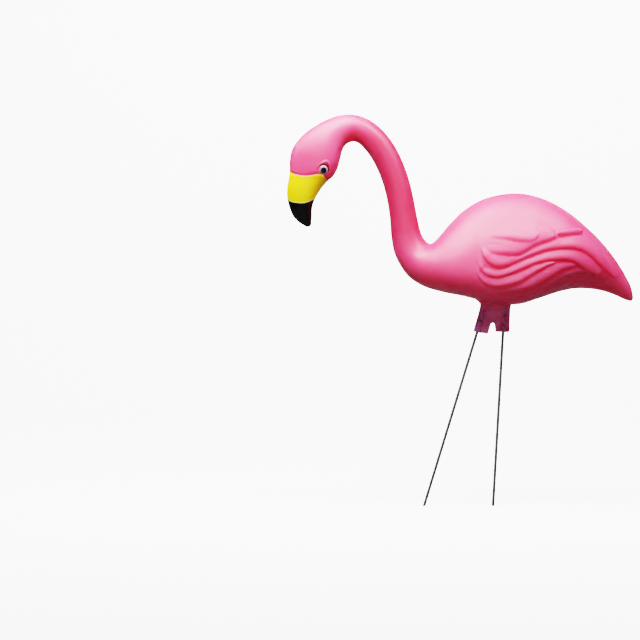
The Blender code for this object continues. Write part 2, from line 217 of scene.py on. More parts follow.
def turn_outward() -> None:
    """Turns all faces of the edited mesh outwards."""
    bpy.ops.mesh.select_all(action="SELECT")
    bpy.ops.mesh.normals_make_consistent(inside=False)


def rolled(name: str, rings: np.ndarray) -> bpy.types.Object:
    """A closed form through rings of points.

    A grid sheet is laid out ring by ring, its two long edges are welded and its two ends are filled.

    Args:
        name: what the form is called.
        rings: places in metres, as (ring, point, coordinate).

    Returns:
        The form, at the origin.
    """
    start_afresh()
    count, sides = rings.shape[:2]
    bpy.ops.mesh.primitive_grid_add(x_subdivisions=sides, y_subdivisions=count - 1, size=1.0)
    form = bpy.context.object
    sheet = np.empty(3 * len(form.data.vertices))
    form.data.vertices.foreach_get("co", sheet)
    sheet = sheet.reshape(-1, 3)
    across = np.rint((sheet[:, 0] + 0.5) * sides).astype(int) % sides
    along = np.rint((sheet[:, 1] + 0.5) * (count - 1)).astype(int)
    form.data.vertices.foreach_set("co", rings[along, across].reshape(-1))
    form.data.update()
    bpy.ops.object.mode_set(mode="EDIT")
    bpy.ops.mesh.select_all(action="SELECT")
    bpy.ops.mesh.remove_doubles(threshold=WELD_DISTANCE)
    bpy.ops.mesh.fill_holes(sides=0)
    select_faces(form, lambda face: len(face.verts) > 4)
    bpy.ops.mesh.poke()
    turn_outward()
    return settle(form, name)


def smooth_path(points: Sequence[Sequence[float]], steps: int) -> np.ndarray:
    """Points on a smooth curve through the given ones.

    Args:
        points: the given points, of any number of coordinates.
        steps: how many steps the curve takes between each two of them.

    Returns:
        The curve's points, one row each.
    """
    known = np.array(points, float)
    known = np.vstack([2 * known[0] - known[1], known, 2 * known[-1] - known[-2]])
    t = (np.arange(steps) / steps)[:, None]
    curve = []
    for before, start, end, after in zip(known, known[1:], known[2:], known[3:]):
        gaps = [math.sqrt(np.linalg.norm(b - a)) for a, b in ((before, start), (start, end), (end, after))]
        leave = (start - before) / gaps[0] - (end - before) / (gaps[0] + gaps[1]) + (end - start) / gaps[1]
        reach = (end - start) / gaps[1] - (after - start) / (gaps[1] + gaps[2]) + (after - end) / gaps[2]
        curve.append(
            (2 * t**3 - 3 * t**2 + 1) * start
            + (t**3 - 2 * t**2 + t) * leave * gaps[1]
            + (3 * t**2 - 2 * t**3) * end
            + (t**3 - t**2) * reach * gaps[1]
        )
    curve.append(known[-2:-1])
    return np.concatenate(curve)


# Shader work

class Bench:
    """The place where one material's nodes are put together."""

    def __init__(self, name: str) -> None:
        """Starts a material with one Principled shader."""
        self.material = bpy.data.materials.new(name)
        self.material.use_nodes = True
        self.tree = self.material.node_tree
        self.shader = self.tree.nodes["Principled BSDF"]

    def add(self, kind: str, settings: dict | None = None, inputs: dict | None = None,
            output: int | str = 0) -> "Wire":
        """Adds one node.

        Args:
            kind: the node's type, without its ShaderNode prefix.
            settings: its properties; "points" fills a curve.
            inputs: values or wires for its sockets, by name or number.
            output: which of its outputs is wanted.

        Returns:
            The wanted output.
        """
        node = self.tree.nodes.new(f"ShaderNode{kind}")
        for key, value in (settings or {}).items():
            if key == "points":
                self._fill_curve(node.mapping, value)
            else:
                setattr(node, key, value)
        for key, value in (inputs or {}).items():
            self.feed(node.inputs[key], value)
        return Wire(self, node.outputs[output])

    def feed(self, socket: bpy.types.NodeSocket, value: "Wire | float | Sequence[float]") -> None:
        """Links a wire to a socket, or sets the socket's value."""
        if isinstance(value, Wire):
            self.tree.links.new(value.socket, socket)
        elif socket.type == "RGBA" and len(value) == 3:
            socket.default_value = (*value, 1.0)
        else:
            socket.default_value = value

    def finish(self, **sockets: "Wire | float | Sequence[float]") -> bpy.types.Material:
        """Feeds the shader, with each socket's name in lower case, and gives the material."""
        for key, value in sockets.items():
            self.feed(self.shader.inputs[key.replace("_", " ").title()], value)
        return self.material

    def place(self) -> tuple["Wire", "Wire", "Wire", "Wire"]:
        """The point on the object, whole and as its x, y and z, in metres."""
        whole = self.add("TexCoord", output="Object")
        return whole, *(self.add("SeparateXYZ", inputs={0: whole}, output=axis) for axis in "XYZ")

    def noise(self, at: "Wire", scale: float, detail: float = 2.0, roughness: float = 0.5,
              distortion: float = 0.0) -> "Wire":
        """Soft noise about one half.

        Args:
            at: where it is read.
            scale: how many of its lumps fit in a metre.
            detail: how many finer layers it has.
            roughness: how strong those are.
            distortion: how far it swirls.

        Returns:
            The noise as a number.
        """
        return self.add("TexNoise", inputs={
            "Vector": at, "Scale": scale, "Detail": detail, "Roughness": roughness,
            "Distortion": distortion})

    def stretched(self, at: "Wire", scale: Sequence[float]) -> "Wire":
        """The place, stretched along its axes."""
        return self.add("Mapping", inputs={"Vector": at, "Scale": scale})

    def mix(self, share: "Wire | float", first: "Wire | Colour", second: "Wire | Colour") -> "Wire":
        """The first colour, with a share of the second in its stead."""
        return self.add("Mix", {"data_type": "RGBA"}, {0: share, 6: first, 7: second}, output=2)

    def bump(self, height: "Wire", depth: float, strength: float = 1.0) -> "Wire":
        """A surface roughened by a height of 0 to 1 over a depth in metres."""
        return self.add("Bump", inputs={"Height": height, "Distance": depth, "Strength": strength})

    @staticmethod
    def _fill_curve(mapping: bpy.types.CurveMapping, points: Sequence[tuple[float, float]]) -> None:
        """Gives a curve its points."""
        curve = mapping.curves[0]
        while len(curve.points) < len(points):
            curve.points.new(0.5, 0.5)
        for point, place in zip(curve.points, sorted(points)):
            point.location = place
        mapping.update()


@dataclass(frozen=True)
class Wire:
    """A node's output, reckoned with as if it were a number."""

    bench: Bench
    socket: bpy.types.NodeSocket

    def _math(self, operation: str, *terms: "Wire | float", clamp: bool = False) -> "Wire":
        """A Math node on these terms."""
        return self.bench.add("Math", {"operation": operation, "use_clamp": clamp}, dict(enumerate(terms)))

    def __add__(self, other: "Wire | float") -> "Wire":
        """The sum."""
        return self._math("ADD", self, other)

    __radd__ = __add__

    def __sub__(self, other: "Wire | float") -> "Wire":
        """The difference."""
        return self._math("SUBTRACT", self, other)

    def __rsub__(self, other: float) -> "Wire":
        """The difference from a number."""
        return self._math("SUBTRACT", other, self)

    def __mul__(self, other: "Wire | float") -> "Wire":
        """The product."""
        return self._math("MULTIPLY", self, other)

    __rmul__ = __mul__

    def __truediv__(self, other: "Wire | float") -> "Wire":
        """The quotient."""
        return self._math("DIVIDE", self, other)

    def __pow__(self, other: float) -> "Wire":
        """The power."""
        return self._math("POWER", self, other)

    def held(self) -> "Wire":
        """The value held between 0 and 1."""
        return self._math("ADD", self, 0.0, clamp=True)

    def past(self, softness: float) -> "Wire":
        """A mask, 0 below nought and 1 above it, with an edge of this softness."""
        return self._math("MULTIPLY_ADD", self, 1 / softness, 0.5, clamp=True)


# Finishes

@dataclass(frozen=True)
class PaintEdge:
    """The edge of a sprayed paint on the beak, as (x, z) points in millimetres from the hip."""

    points: tuple[tuple[float, float], ...]
    left: float = -360.0
    right: float = -270.0
    low: float = 200.0
    high: float = 300.0

    def below(self, bench: Bench, x: Wire, z: Wire, softness: float, lower: float = 0.0) -> Wire:
        """A mask of what lies under the edge.

        Args:
            bench: the material's nodes.
            x: the place along the bird, in millimetres.
            z: the place up it, in millimetres.
            softness: how many millimetres the paint takes to fade.
            lower: how many millimetres the edge is moved down.

        Returns:
            1 under the edge and 0 over it.
        """
        share = (x - self.left) / (self.right - self.left)
        points = [((a - self.left) / (self.right - self.left), (b - self.low) / (self.high - self.low))
                  for a, b in self.points]
        level = bench.add("FloatCurve", {"points": points}, {"Value": share})
        under = (level * (self.high - self.low) + (self.low - lower) - z).past(softness)
        return under * (self.right - x).past(softness)


@dataclass(frozen=True)
class MouldedBird:
    """The bird's plastic, with the sprayed beak and eyes. Its places are in millimetres from the hip."""

    pink: Colour = (0.85, 0.070, 0.170)
    pale_pink: Colour = (0.88, 0.095, 0.210)
    deep_pink_and_groove_shade: Colour = (0.72, 0.030, 0.085)
    neck_painted_shade: Colour = (0.62, 0.034, 0.092)
    web_painted_light: Colour = (0.76, 0.140, 0.320)
    yellow: Colour = (0.86, 0.62, 0.006)
    pale_yellow: Colour = (0.90, 0.78, 0.22)
    orange: Colour = (0.88, 0.30, 0.02)
    black: Colour = (0.006, 0.004, 0.004)
    eye_white: Colour = (0.36, 0.26, 0.35)
    eye_black: Colour = (0.008, 0.006, 0.012)
    eye_line: Colour = (0.12, 0.006, 0.045)
    roughness: float = 0.45
    glow: float = 0.7
    glow_depth: float = 0.04
    glow_spread: Colour = (1.0, 0.05, 0.10)
    neck_left: float = -225.0
    neck_right: float = -95.0
    neck_foot: float = 150.0
    web_top: float = 44.0
    rim_width: float = 2.0
    brim_width: float = 2.6
    eye: tuple[float, float] = (-291.6, 281.6)
    eye_radius: float = 7.6
    eye_softness: float = 0.7
    pupil_radius: float = 4.8
    beak_edge: PaintEdge = PaintEdge((
        (-356.0, 283.0), (-347.6, 279.5), (-344.9, 277.0), (-339.7, 274.3), (-332.7, 272.0), (-325.7, 271.2),
        (-318.7, 271.2), (-311.7, 272.0), (-304.7, 273.8), (-297.7, 274.7), (-294.2, 274.2), (-290.7, 272.0),
        (-288.1, 268.8), (-286.3, 265.6), (-283.0, 258.0),
    ))
    tip_edge: PaintEdge = PaintEdge((
        (-356.0, 235.0), (-353.2, 231.9), (-351.1, 229.0), (-346.7, 226.8), (-339.7, 225.2), (-332.7, 224.5),
        (-325.7, 224.8), (-318.7, 226.6), (-313.4, 228.9), (-308.2, 231.6), (-304.0, 236.0),
    ))

    def make(self) -> bpy.types.Material:
        """The material."""
        bench = Bench("moulded pink plastic")
        whole, along, _, up = bench.place()
        x = (along - STANCE.hip.x) * MM_PER_M
        z = (up - STANCE.hip.z) * MM_PER_M
        beak, tip, colour = self._beak(bench, whole, x, z, self._pinks(bench, whole, x, z))
        colour = self._eye(bench, x, z, colour)
        scuff = bench.noise(whole, 46.0, 6.0, 0.62)
        eyeball = self._from_eye(x, z, self.eye_radius)
        shine = self.roughness + (scuff - 0.5) * 0.16 - tip * 0.14 - beak * 0.06 - eyeball * 0.2
        peel = bench.noise(whole, 620.0)
        wave = bench.noise(whole, 38.0)
        return bench.finish(
            base_color=colour, roughness=shine, normal=bench.bump(peel * 0.25 + wave * 1.6, 0.00035, 0.55),
            subsurface_weight=self.glow, subsurface_scale=self.glow_depth,
            subsurface_radius=self.glow_spread,
        )

    def _pinks(self, bench: Bench, whole: Wire, x: Wire, z: Wire) -> Wire:
        """The plastic's own colour, cloudy, with painted shade deeper in the grooves and on the neck, and a
        paler pink of painted light on the web.
        """
        flow = bench.noise(whole, 9.0, 3.0, 0.55, 0.8)
        grain = bench.noise(whole, 340.0)
        lift = bench.add("Attribute", {"attribute_name": "carving"}, output="Fac")
        pinks = bench.mix(((flow - 0.42) * 2.2).held(), self.pink, self.pale_pink)
        pinks = bench.mix(((0.5 - grain) * 0.35).held(), pinks, self.deep_pink_and_groove_shade)
        # Painted shade: the sunken grooves of the carving are darkened towards the deep pink.
        pinks = bench.mix((lift * -0.35).held() * 0.5, pinks, self.deep_pink_and_groove_shade)
        # Painted shade: the neck is coloured a deeper pink than the body.
        on_neck = (x - self.neck_left).past(60) * (self.neck_right - x).past(40)
        pinks = bench.mix(on_neck * (z - self.neck_foot).past(50), pinks, self.neck_painted_shade)
        # Painted light: the web below the belly is given a paler, bluer pink that lifts the shade there.
        return bench.mix((self.web_top - z).past(16), pinks, self.web_painted_light)

    def _beak(self, bench: Bench, whole: Wire, x: Wire, z: Wire, around: Wire) -> tuple[Wire, Wire, Wire]:
        """The beak's paint over what is around it.

        Args:
            bench: the material's nodes.
            whole: the point on the object.
            x: the place along the bird, in millimetres.
            z: the place up it.
            around: the colour that is painted over.

        Returns:
            Where the beak is, where its black tip is, and the colour.
        """
        level = z + (bench.noise(whole, 1100.0) - 0.5) * 0.7
        beak = self.beak_edge.below(bench, x, level, 0.9)
        rim = beak * (1 - self.beak_edge.below(bench, x, level, 2.4, self.rim_width))
        tip = self.tip_edge.below(bench, x, level, 0.7)
        brim = self.tip_edge.below(bench, x, level, 1.2, -self.brim_width)
        painted = bench.mix(rim * 0.9, self.yellow, self.orange)
        painted = bench.mix(brim * 0.7, painted, self.pale_yellow)
        return beak, tip, bench.mix(tip, bench.mix(beak, around, painted), self.black)

    def _from_eye(self, x: Wire, z: Wire, radius: float, right: float = 0.0, up: float = 0.0) -> Wire:
        """A mask of the round spot of this radius at the eye, moved right and up."""
        aside = x - (self.eye[0] + right)
        over = z - (self.eye[1] + up)
        return (radius - (aside * aside + over * over) ** 0.5).past(self.eye_softness)

    def _eye(self, bench: Bench, x: Wire, z: Wire, around: Wire) -> Wire:
        """The eye's paint over what is around it."""
        line = self._from_eye(x, z, self.eye_radius + 1.6, 0.6, 1.6)
        line = line * (1 - self._from_eye(x, z, self.eye_radius + 1.0, -1.4, -1.6))
        colour = bench.mix(line, around, self.eye_line)
        colour = bench.mix(self._from_eye(x, z, self.eye_radius), colour, self.eye_white)
        return bench.mix(self._from_eye(x, z, self.pupil_radius, 0.3, -0.4), colour, self.eye_black)


@dataclass(frozen=True)
class DarkSteel:
    """Cold-drawn steel rod with its dark mill skin."""

    skin: Colour = (0.110, 0.103, 0.098)
    bare: Colour = (0.26, 0.25, 0.24)
    rust: Colour = (0.13, 0.052, 0.024)

    def make(self) -> bpy.types.Material:
        """The material."""
        bench = Bench("dark steel rod")
        whole, _, _, up = bench.place()
        drawn = bench.noise(bench.stretched(whole, (1.0, 1.0, 0.02)), 2600.0, 3.0)
        patch = bench.noise(whole, 60.0, 5.0, 0.6)
        colour = bench.mix(((drawn - 0.52) * 3).held() * 0.6, self.skin, self.bare)
        stain = ((patch - 0.60) * 7).held() * (0.25 + 0.6 * (0.05 - up).past(0.06))
        colour = bench.mix(stain, colour, self.rust)
        return bench.finish(
            base_color=colour, metallic=0.45 - stain * 0.4, roughness=0.48 + patch * 0.16 + stain * 0.3,
            normal=bench.bump(drawn, 0.00006, 0.5),
        )


@dataclass(frozen=True)
class StudioPaper:
    """The pale paper that the object stands on.

    It looks white, but throws back only a little light, so that the underside keeps its shade.
    """

    paper: Colour = (0.85, 0.85, 0.86)
    tooth: Colour = (0.80, 0.80, 0.81)
    thrown_back: Colour = (0.10, 0.10, 0.10)
    glow: float = 1.9

    def make(self) -> bpy.types.Material:
        """The material."""
        bench = Bench("studio paper")
        whole = bench.place()[0]
        seen = bench.add("LightPath", output="Is Camera Ray")
        tooth = bench.noise(whole, 900.0)
        colour = bench.mix(((tooth - 0.5) * 0.3).held(), self.paper, self.tooth)
        return bench.finish(
            base_color=bench.mix(seen, self.thrown_back, colour), roughness=0.9,
            emission_color=bench.mix(seen, (0.0, 0.0, 0.0), (1.0, 1.0, 1.0)), emission_strength=self.glow,
            normal=bench.bump(tooth, 0.0001, 0.2),
        )


# The moulded bird

@dataclass(frozen=True)
class Stroke:
    """One carved form on the flanks.

    It follows (x, z, half width) points. It stands out by its height, or sinks in where that is below zero.
    Edge is the share of the half width that it takes to rise. Crest is how far a feather's crest lies to
    its lower side, where it drops off sharply. Fade is the two shares of its length over which it grows at
    its start and dies away at its end.
    """

    name: str
    height: float
    points: tuple[tuple[float, float, float], ...]
    edge: float = 1.0
    crest: float = 0.0
    fade: tuple[float, float] = (0.0, 0.0)

    @staticmethod
    def eased(share: np.ndarray) -> np.ndarray:
        """A share between 0 and 1, started and ended softly."""
        share = np.clip(share, 0, 1)
        return share * share * (3 - 2 * share)

    def lift(self, x: np.ndarray, z: np.ndarray) -> np.ndarray:
        """How far the form stands out.

        Args:
            x: places along the bird, in millimetres of the drawing.
            z: places up it.

        Returns:
            Millimetres outwards at each place.
        """
        result = np.zeros(len(x))
        path = smooth_path(self.points, STROKE_STEPS)
        widest = path[:, 2].max()
        near = (
            (x > path[:, 0].min() - widest) & (x < path[:, 0].max() + widest)
            & (z > path[:, 1].min() - widest) & (z < path[:, 1].max() + widest)
        )
        if not near.any():
            return result
        heading = np.gradient(path[:, :2], axis=0)
        heading /= np.linalg.norm(heading, axis=1)[:, None]
        offset_x = x[near][:, None] - path[:, 0]
        offset_z = z[near][:, None] - path[:, 1]
        distance = np.hypot(offset_x, offset_z) / path[:, 2]
        nearest = distance.argmin(axis=1)
        rows = np.arange(len(nearest))
        fall = np.clip((1 - distance[rows, nearest]) / (self.edge * (1 - self.crest)), 0, 1)
        lifted = self.height * np.sqrt(path[nearest, 2] / widest) * fall * (2 - fall)
        if self.crest:
            below = (offset_x * heading[:, 1] - offset_z * heading[:, 0])[rows, nearest] / path[nearest, 2]
            lifted *= self.eased((1 + below) / (1 + self.crest))
        travelled = nearest / (len(path) - 1)
        for share, travel in zip(self.fade, (travelled, 1 - travelled)):
            if share:
                lifted *= self.eased(travel / share)
        result[near] = lifted
        return result


@dataclass
class MouldedShell:
    """The whole bird, from the tip of its beak to its tail, as it comes out of the mould.

    Each section crosses the bird from its back to its belly: back x, back z, belly x, belly z and half
    width, in millimetres from the hip, and how far its widest place lies below the middle, as a share of
    its depth. Rings are laid through the sections at a pitch in millimetres, wider between the two section
    numbers of the neck. The ground strokes add up, and of the ridges the highest one shows.
    """

    points: int = 264
    fine_pitch: float = 1.35
    neck_pitch: float = 2.3
    neck: tuple[int, int] = (12, 26)
    crowding: float = 0.14
    end_rings: int = 9
    end_bulge: float = 0.5
    seam_height: float = 0.28
    seam_half_width: float = 0.7
    flank_start: float = 0.12
    flank_full: float = 0.52
    steps: int = 40
    pitch_blend: int = 20
    most_triangles: int = 186000
    sections: tuple[tuple[float, ...], ...] = (
        (-323.0, 185.0, -313.5, 187.5, 4.0, 0.0),
        (-334.0, 192.0, -312.5, 201.0, 8.5, 0.08),
        (-344.5, 203.0, -312.0, 213.5, 12.5, 0.12),
        (-350.5, 217.0, -310.0, 224.5, 15.5, 0.15),
        (-354.5, 233.5, -304.5, 237.0, 18.5, 0.18),
        (-355.0, 252.0, -295.0, 252.0, 21.0, 0.2),
        (-352.5, 267.0, -284.5, 264.0, 23.0, 0.24),
        (-350.5, 279.0, -275.0, 272.5, 25.5, 0.3),
        (-350.5, 298.5, -267.5, 286.0, 28.0, 0.35),
        (-345.5, 321.0, -262.5, 303.5, 29.0, 0.36),
        (-328.0, 344.0, -258.5, 318.5, 28.0, 0.3),
        (-298.5, 365.0, -253.0, 327.5, 25.5, 0.18),
        (-266.0, 378.5, -246.0, 332.0, 24.0, 0.06),
        (-238.0, 380.0, -237.5, 333.5, 23.5, 0.0),
        (-211.5, 371.0, -228.5, 329.5, 23.5, 0.0),
        (-190.0, 354.5, -219.0, 320.0, 23.5, 0.0),
        (-171.0, 331.5, -209.0, 307.0, 23.5, 0.0),
        (-155.5, 303.0, -199.0, 289.0, 23.5, 0.0),
        (-143.0, 269.5, -189.0, 265.0, 23.5, 0.0),
        (-135.0, 238.0, -181.5, 238.0, 23.5, 0.0),
        (-128.5, 204.0, -175.5, 203.0, 24.0, 0.0),
        (-121.5, 174.0, -172.5, 166.0, 26.0, 0.0),
        (-113.0, 159.5, -167.0, 138.0, 29.0, 0.02),
        (-105.0, 154.5, -157.0, 117.0, 34.0, 0.06),
        (-97.0, 159.0, -142.0, 97.0, 42.0, 0.12),
        (-86.5, 170.0, -116.5, 80.5, 53.0, 0.2),
        (-70.0, 189.5, -82.0, 70.0, 64.0, 0.34),
        (-46.5, 212.0, -49.0, 63.5, 73.0, 0.42),
        (-15.0, 231.0, -14.0, 55.0, 78.0, 0.46),
        (20.0, 240.5, 17.5, 48.5, 80.0, 0.46),
        (56.0, 242.0, 52.5, 49.5, 79.0, 0.43),
        (95.5, 232.0, 87.5, 60.0, 74.5, 0.34),
        (134.0, 211.0, 121.0, 71.0, 66.0, 0.2),
        (168.0, 183.5, 150.5, 76.5, 54.0, 0.08),
        (196.5, 155.0, 178.5, 75.5, 41.0, 0.0),
        (219.5, 126.0, 203.0, 70.5, 29.0, 0.0),
        (236.5, 99.0, 222.0, 63.5, 18.5, 0.0),
        (247.0, 77.0, 236.0, 57.0, 10.5, 0.0),
        (250.0, 62.0, 245.5, 54.5, 5.0, 0.0),
    )
    ground: tuple[Stroke, ...] = (
        Stroke("wing shield", 1.7, ((12, 152, 38), (45, 160, 35), (85, 160, 20), (110, 158, 8)), edge=0.9),
        Stroke("flight bed", -1.6, (
            (-8, 96, 22), (20, 88, 30), (60, 104, 34), (100, 124, 36), (140, 128, 36), (175, 112, 26),
            (196, 96, 14)), edge=0.5),
        Stroke("eye hollow", -1.2, ((-291.8, 283, 10.5), (-291.7, 283, 10.5)), edge=0.4),
        Stroke("beak crease", -1, (
            (-352, 280, 2.6), (-345, 277, 2.6), (-327, 273, 2.6), (-311.5, 274, 2.6), (-297.5, 275, 2.6),
            (-285, 268, 2.6))),
        Stroke("high barb", -0.5, ((9.5, 171, 2.2), (43.5, 169.5, 2.6), (69, 164.5, 2.2)), fade=(0.4, 0.4)),
        Stroke("middle barb", -0.45, ((16, 162, 2), (26, 160, 2.4), (36, 157.5, 2)), fade=(0.4, 0.3)),
        Stroke("low barb", -0.5, ((-24, 151, 2.2), (6, 148.5, 2.4), (34, 144, 2)), fade=(0.4, 0.4)),
        Stroke("lowest barb", -0.4, ((-6, 144, 2), (16, 143, 2.2), (34, 139.5, 2)), fade=(0.4, 0.4)),
    )
    ridges: tuple[Stroke, ...] = (
        Stroke("tail streak", 1.8, (
            (133, 81, 3.5), (163.5, 81.5, 5), (191, 75.5, 5), (211.5, 68, 4), (227, 60.5, 2)),
            crest=0.2, fade=(0.3, 0.3)),
        Stroke("low streak", 2, (
            (60.6, 55.1, 3.2), (81.4, 62.4, 4.2), (102.3, 76.1, 4.9), (118.2, 83, 5.6), (134.2, 90.2, 5.4),
            (145, 93.9, 5.4), (157.7, 97.3, 5.4), (170.4, 98, 3.9)), crest=0.3, fade=(0.4, 0.1)),
        Stroke("middle streak", 2.4, (
            (19.5, 61.1, 4.2), (40, 63.6, 5.1), (60.6, 65, 5.6), (81.4, 74.8, 5.2), (102.3, 88.5, 5.1),
            (112.9, 94.7, 5.9), (123.6, 99.9, 6.2), (134.2, 103.6, 6.6), (146.8, 106.6, 6),
            (157.7, 106.9, 3.4)), crest=0.3, fade=(0.4, 0)),
        Stroke("high streak", 3.2, (
            (-17.7, 73.1, 5.9), (2.6, 70.1, 5.5), (22.9, 71.6, 5.5), (40, 75.9, 6.2), (50.3, 79, 8),
            (60.6, 83.7, 9.6), (71, 89.3, 10.6), (81.4, 94.4, 10.5), (91.8, 100.6, 10.9),
            (102.3, 106.6, 10.4), (112.9, 111.7, 9.3), (123.6, 114.5, 7.4), (136, 115.6, 4.8)),
            crest=0.4, fade=(0.45, 0)),
        Stroke("third flight feather", 3.2, (
            (-28.7, 114, 2.7), (-25.4, 101.3, 4.3), (-18.6, 92, 6.5), (-7.6, 86.2, 8.2), (4.3, 84.5, 8.5),
            (16.1, 85.8, 8.7), (29.7, 89.6, 9.8), (40, 93, 9.5), (50.3, 98.1, 9.2), (60.6, 103.2, 7.5),
            (71, 109.2, 7), (81.4, 112.9, 5.7), (91.8, 117.9, 4.1), (100.5, 118.9, 3.2)),
            crest=0.5, fade=(0.12, 0)),
        Stroke("second flight feather", 3.6, (
            (-25.2, 130.3, 2.7), (-22.7, 116.6, 4.1), (-16.9, 107, 6.1), (-7.6, 102.9, 7.9),
            (4.3, 100.8, 8), (19.5, 103.9, 7.4), (40, 111.7, 8), (55.5, 118.6, 7.9), (71, 124.6, 7.6),
            (86.6, 129.2, 8.6), (102.3, 131.6, 9.3), (118.2, 132.6, 10.3), (134.2, 131.9, 10.9),
            (150.5, 126.1, 12.6), (166.8, 115.8, 13.6), (179, 106.5, 10.5)), crest=0.5, fade=(0.1, 0)),
        Stroke("first flight feather", 3.8, (
            (29.7, 125.5, 3.8), (40, 126, 4.4), (50.3, 130.2, 5), (60.6, 135.5, 6.1), (71, 139.3, 6.5),
            (81.4, 143.9, 6.8), (91.8, 147.2, 7.6), (102.3, 150.1, 8.8), (112.9, 152.2, 9.6),
            (128.9, 154.1, 11.1), (145, 154.3, 12.8), (161.3, 150.7, 14.2), (177.8, 141, 15),
            (192, 127, 14), (204, 113.5, 11.5), (212, 103, 8)), crest=0.5),
        Stroke("low covert", 3.4, (
            (-16.7, 149, 6.1), (-13.3, 137.8, 8.5), (-6.2, 127.8, 10.9), (6, 121.6, 12.3),
            (19.5, 121.3, 9.9), (29.7, 123, 6.5), (40, 123.3, 3.2)), crest=0.55, fade=(0.25, 0)),
        Stroke("middle covert", 3, (
            (-27.8, 153.1, 8.1), (-11, 148.6, 11.8), (2.6, 147.8, 15.4), (16.1, 149, 17.8),
            (29.7, 149.8, 20), (40, 151.5, 20.4), (50.3, 155.5, 18.4), (60.6, 160, 16), (71, 162.5, 15),
            (81.4, 165.5, 13), (91.8, 167, 11.6), (99, 167.5, 10)), crest=0.6, fade=(0.3, 0)),
        Stroke("covert tip", 2.8, ((84, 165.5, 13), (92.6, 166.9, 12), (97, 167.6, 10.8)), edge=0.45),
        Stroke("far covert", 4.2, (
            (104, 169.5, 6), (120, 172, 7), (136, 174, 7.4), (148.5, 174.6, 7.4)),
            crest=0.1, fade=(0.15, 0)),
        Stroke("high covert", 4.4, (
            (-14, 176, 11), (10, 173.5, 14), (30, 171.8, 16), (43.5, 170.5, 17.5), (55.5, 170.2, 18.6),
            (61, 170.6, 18.4)), crest=0.76, fade=(0.5, 0)),
        Stroke("eyelid", 1.1, (
            (-301, 286, 2.6), (-296.5, 291.2, 3), (-291.5, 293.8, 3.2), (-286.5, 295.4, 3.2),
            (-281.5, 291, 2.6))),
        Stroke("eyeball", 3.2, ((-291.7, 282, 7.9), (-291.6, 282, 7.9)), edge=0.7),
    )

    def carved_lift(self, x: np.ndarray, z: np.ndarray) -> np.ndarray:
        """How far all the carving stands out of the flank, in millimetres, at places of the drawing."""
        ground = sum(stroke.lift(x, z) for stroke in self.ground)
        return ground + np.max([stroke.lift(x, z) for stroke in self.ridges], axis=0)

    def cross_sections(self) -> np.ndarray:
        """The sections of all rings from beak to tail, closer together on the head and the body."""
        outline = smooth_path(self.sections, self.steps)
        back_steps = np.linalg.norm(np.diff(outline[:, 0:2], axis=0), axis=1)
        belly_steps = np.linalg.norm(np.diff(outline[:, 2:4], axis=0), axis=1)
        between = (np.arange(len(back_steps)) + 0.5) / self.steps
        on_neck = (between > self.neck[0]) & (between < self.neck[1])
        pitch = np.where(on_neck, self.neck_pitch, self.fine_pitch)
        window = np.ones(2 * self.pitch_blend + 1)
        pitch = np.convolve(np.pad(pitch, self.pitch_blend, mode="edge"), window / len(window), mode="valid")
        count = np.concatenate([[0], np.cumsum(np.maximum(back_steps, belly_steps) / pitch)])
        places = np.linspace(0, count[-1], int(count[-1]) + 1)
        return np.stack([np.interp(places, count, column) for column in outline.T], axis=1)

    def ring(self, section: np.ndarray) -> tuple[np.ndarray, np.ndarray]:
        """The carved ring of one section.

        Args:
            section: one row of the table of sections.

        Returns:
            The ring's points in millimetres from the hip, and how far each was lifted.
        """
        back, belly, half_width, egg = section[0:2], section[2:4], section[4], section[5]
        half_depth = (back - belly) / 2
        depth = np.linalg.norm(half_depth)
        turn = np.linspace(0, 2 * math.pi, self.points, endpoint=False)
        turn = turn + self.crowding * np.sin(2 * turn)
        drawn = (back + belly) / 2 + (np.cos(turn) - egg * np.sin(turn) ** 2)[:, None] * half_depth
        across = np.sin(turn) * half_width
        outward = np.stack([half_width * np.cos(turn), depth * np.sin(turn) * (1 + 2 * egg * np.cos(turn))])
        outward /= np.linalg.norm(outward, axis=0)
        flank = np.clip((np.abs(outward[1]) - self.flank_start) / (self.flank_full - self.flank_start), 0, 1)
        half = self.points // 2 + 1
        one_side = self.carved_lift(drawn[:half, 0], drawn[:half, 1])
        lift = np.concatenate([one_side, one_side[-2:0:-1]]) * flank
        seam = self.seam_height * np.clip(1.5 - np.abs(across) / self.seam_half_width, 0, 1)
        drawn = drawn + ((lift + seam) * outward[0])[:, None] * half_depth / depth
        across = across + (lift + seam) * outward[1]
        return np.stack([drawn[:, 0], across, drawn[:, 1]], axis=1), lift

    def rounded_end(self, ring: np.ndarray, inner_ring: np.ndarray) -> list[np.ndarray]:
        """Rings that round off an end, each smaller than the one before."""
        centre = ring.mean(axis=0)
        outward = centre - inner_ring.mean(axis=0)
        outward /= np.linalg.norm(outward)
        reach = self.end_bulge * np.linalg.norm(ring - centre, axis=1).min()
        angles = 0.5 * math.pi * np.arange(1, self.end_rings) / self.end_rings
        return [centre + (ring - centre) * math.cos(a) + outward * reach * math.sin(a) for a in angles]

    def build(self) -> bpy.types.Object:
        """The shell, with the height of its carving kept for its finish."""
        rings, lifts = zip(*(self.ring(section) for section in self.cross_sections()))
        before = self.rounded_end(rings[0], rings[2])[::-1]
        after = self.rounded_end(rings[-1], rings[-3])
        every_ring = np.array(before + list(rings) + after)
        shell = rolled("bird_shell", STANCE.placed(every_ring))
        self._keep_carving(shell, np.concatenate(rings), np.concatenate(lifts))
        triangles = 2 * every_ring.shape[0] * self.points
        if triangles > self.most_triangles:
            thinned = shell.modifiers.new("thinned", "DECIMATE")
            thinned.ratio = self.most_triangles / triangles
            thinned.use_symmetry = True
            thinned.symmetry_axis = "Y"
            apply_all(shell)
        return shell

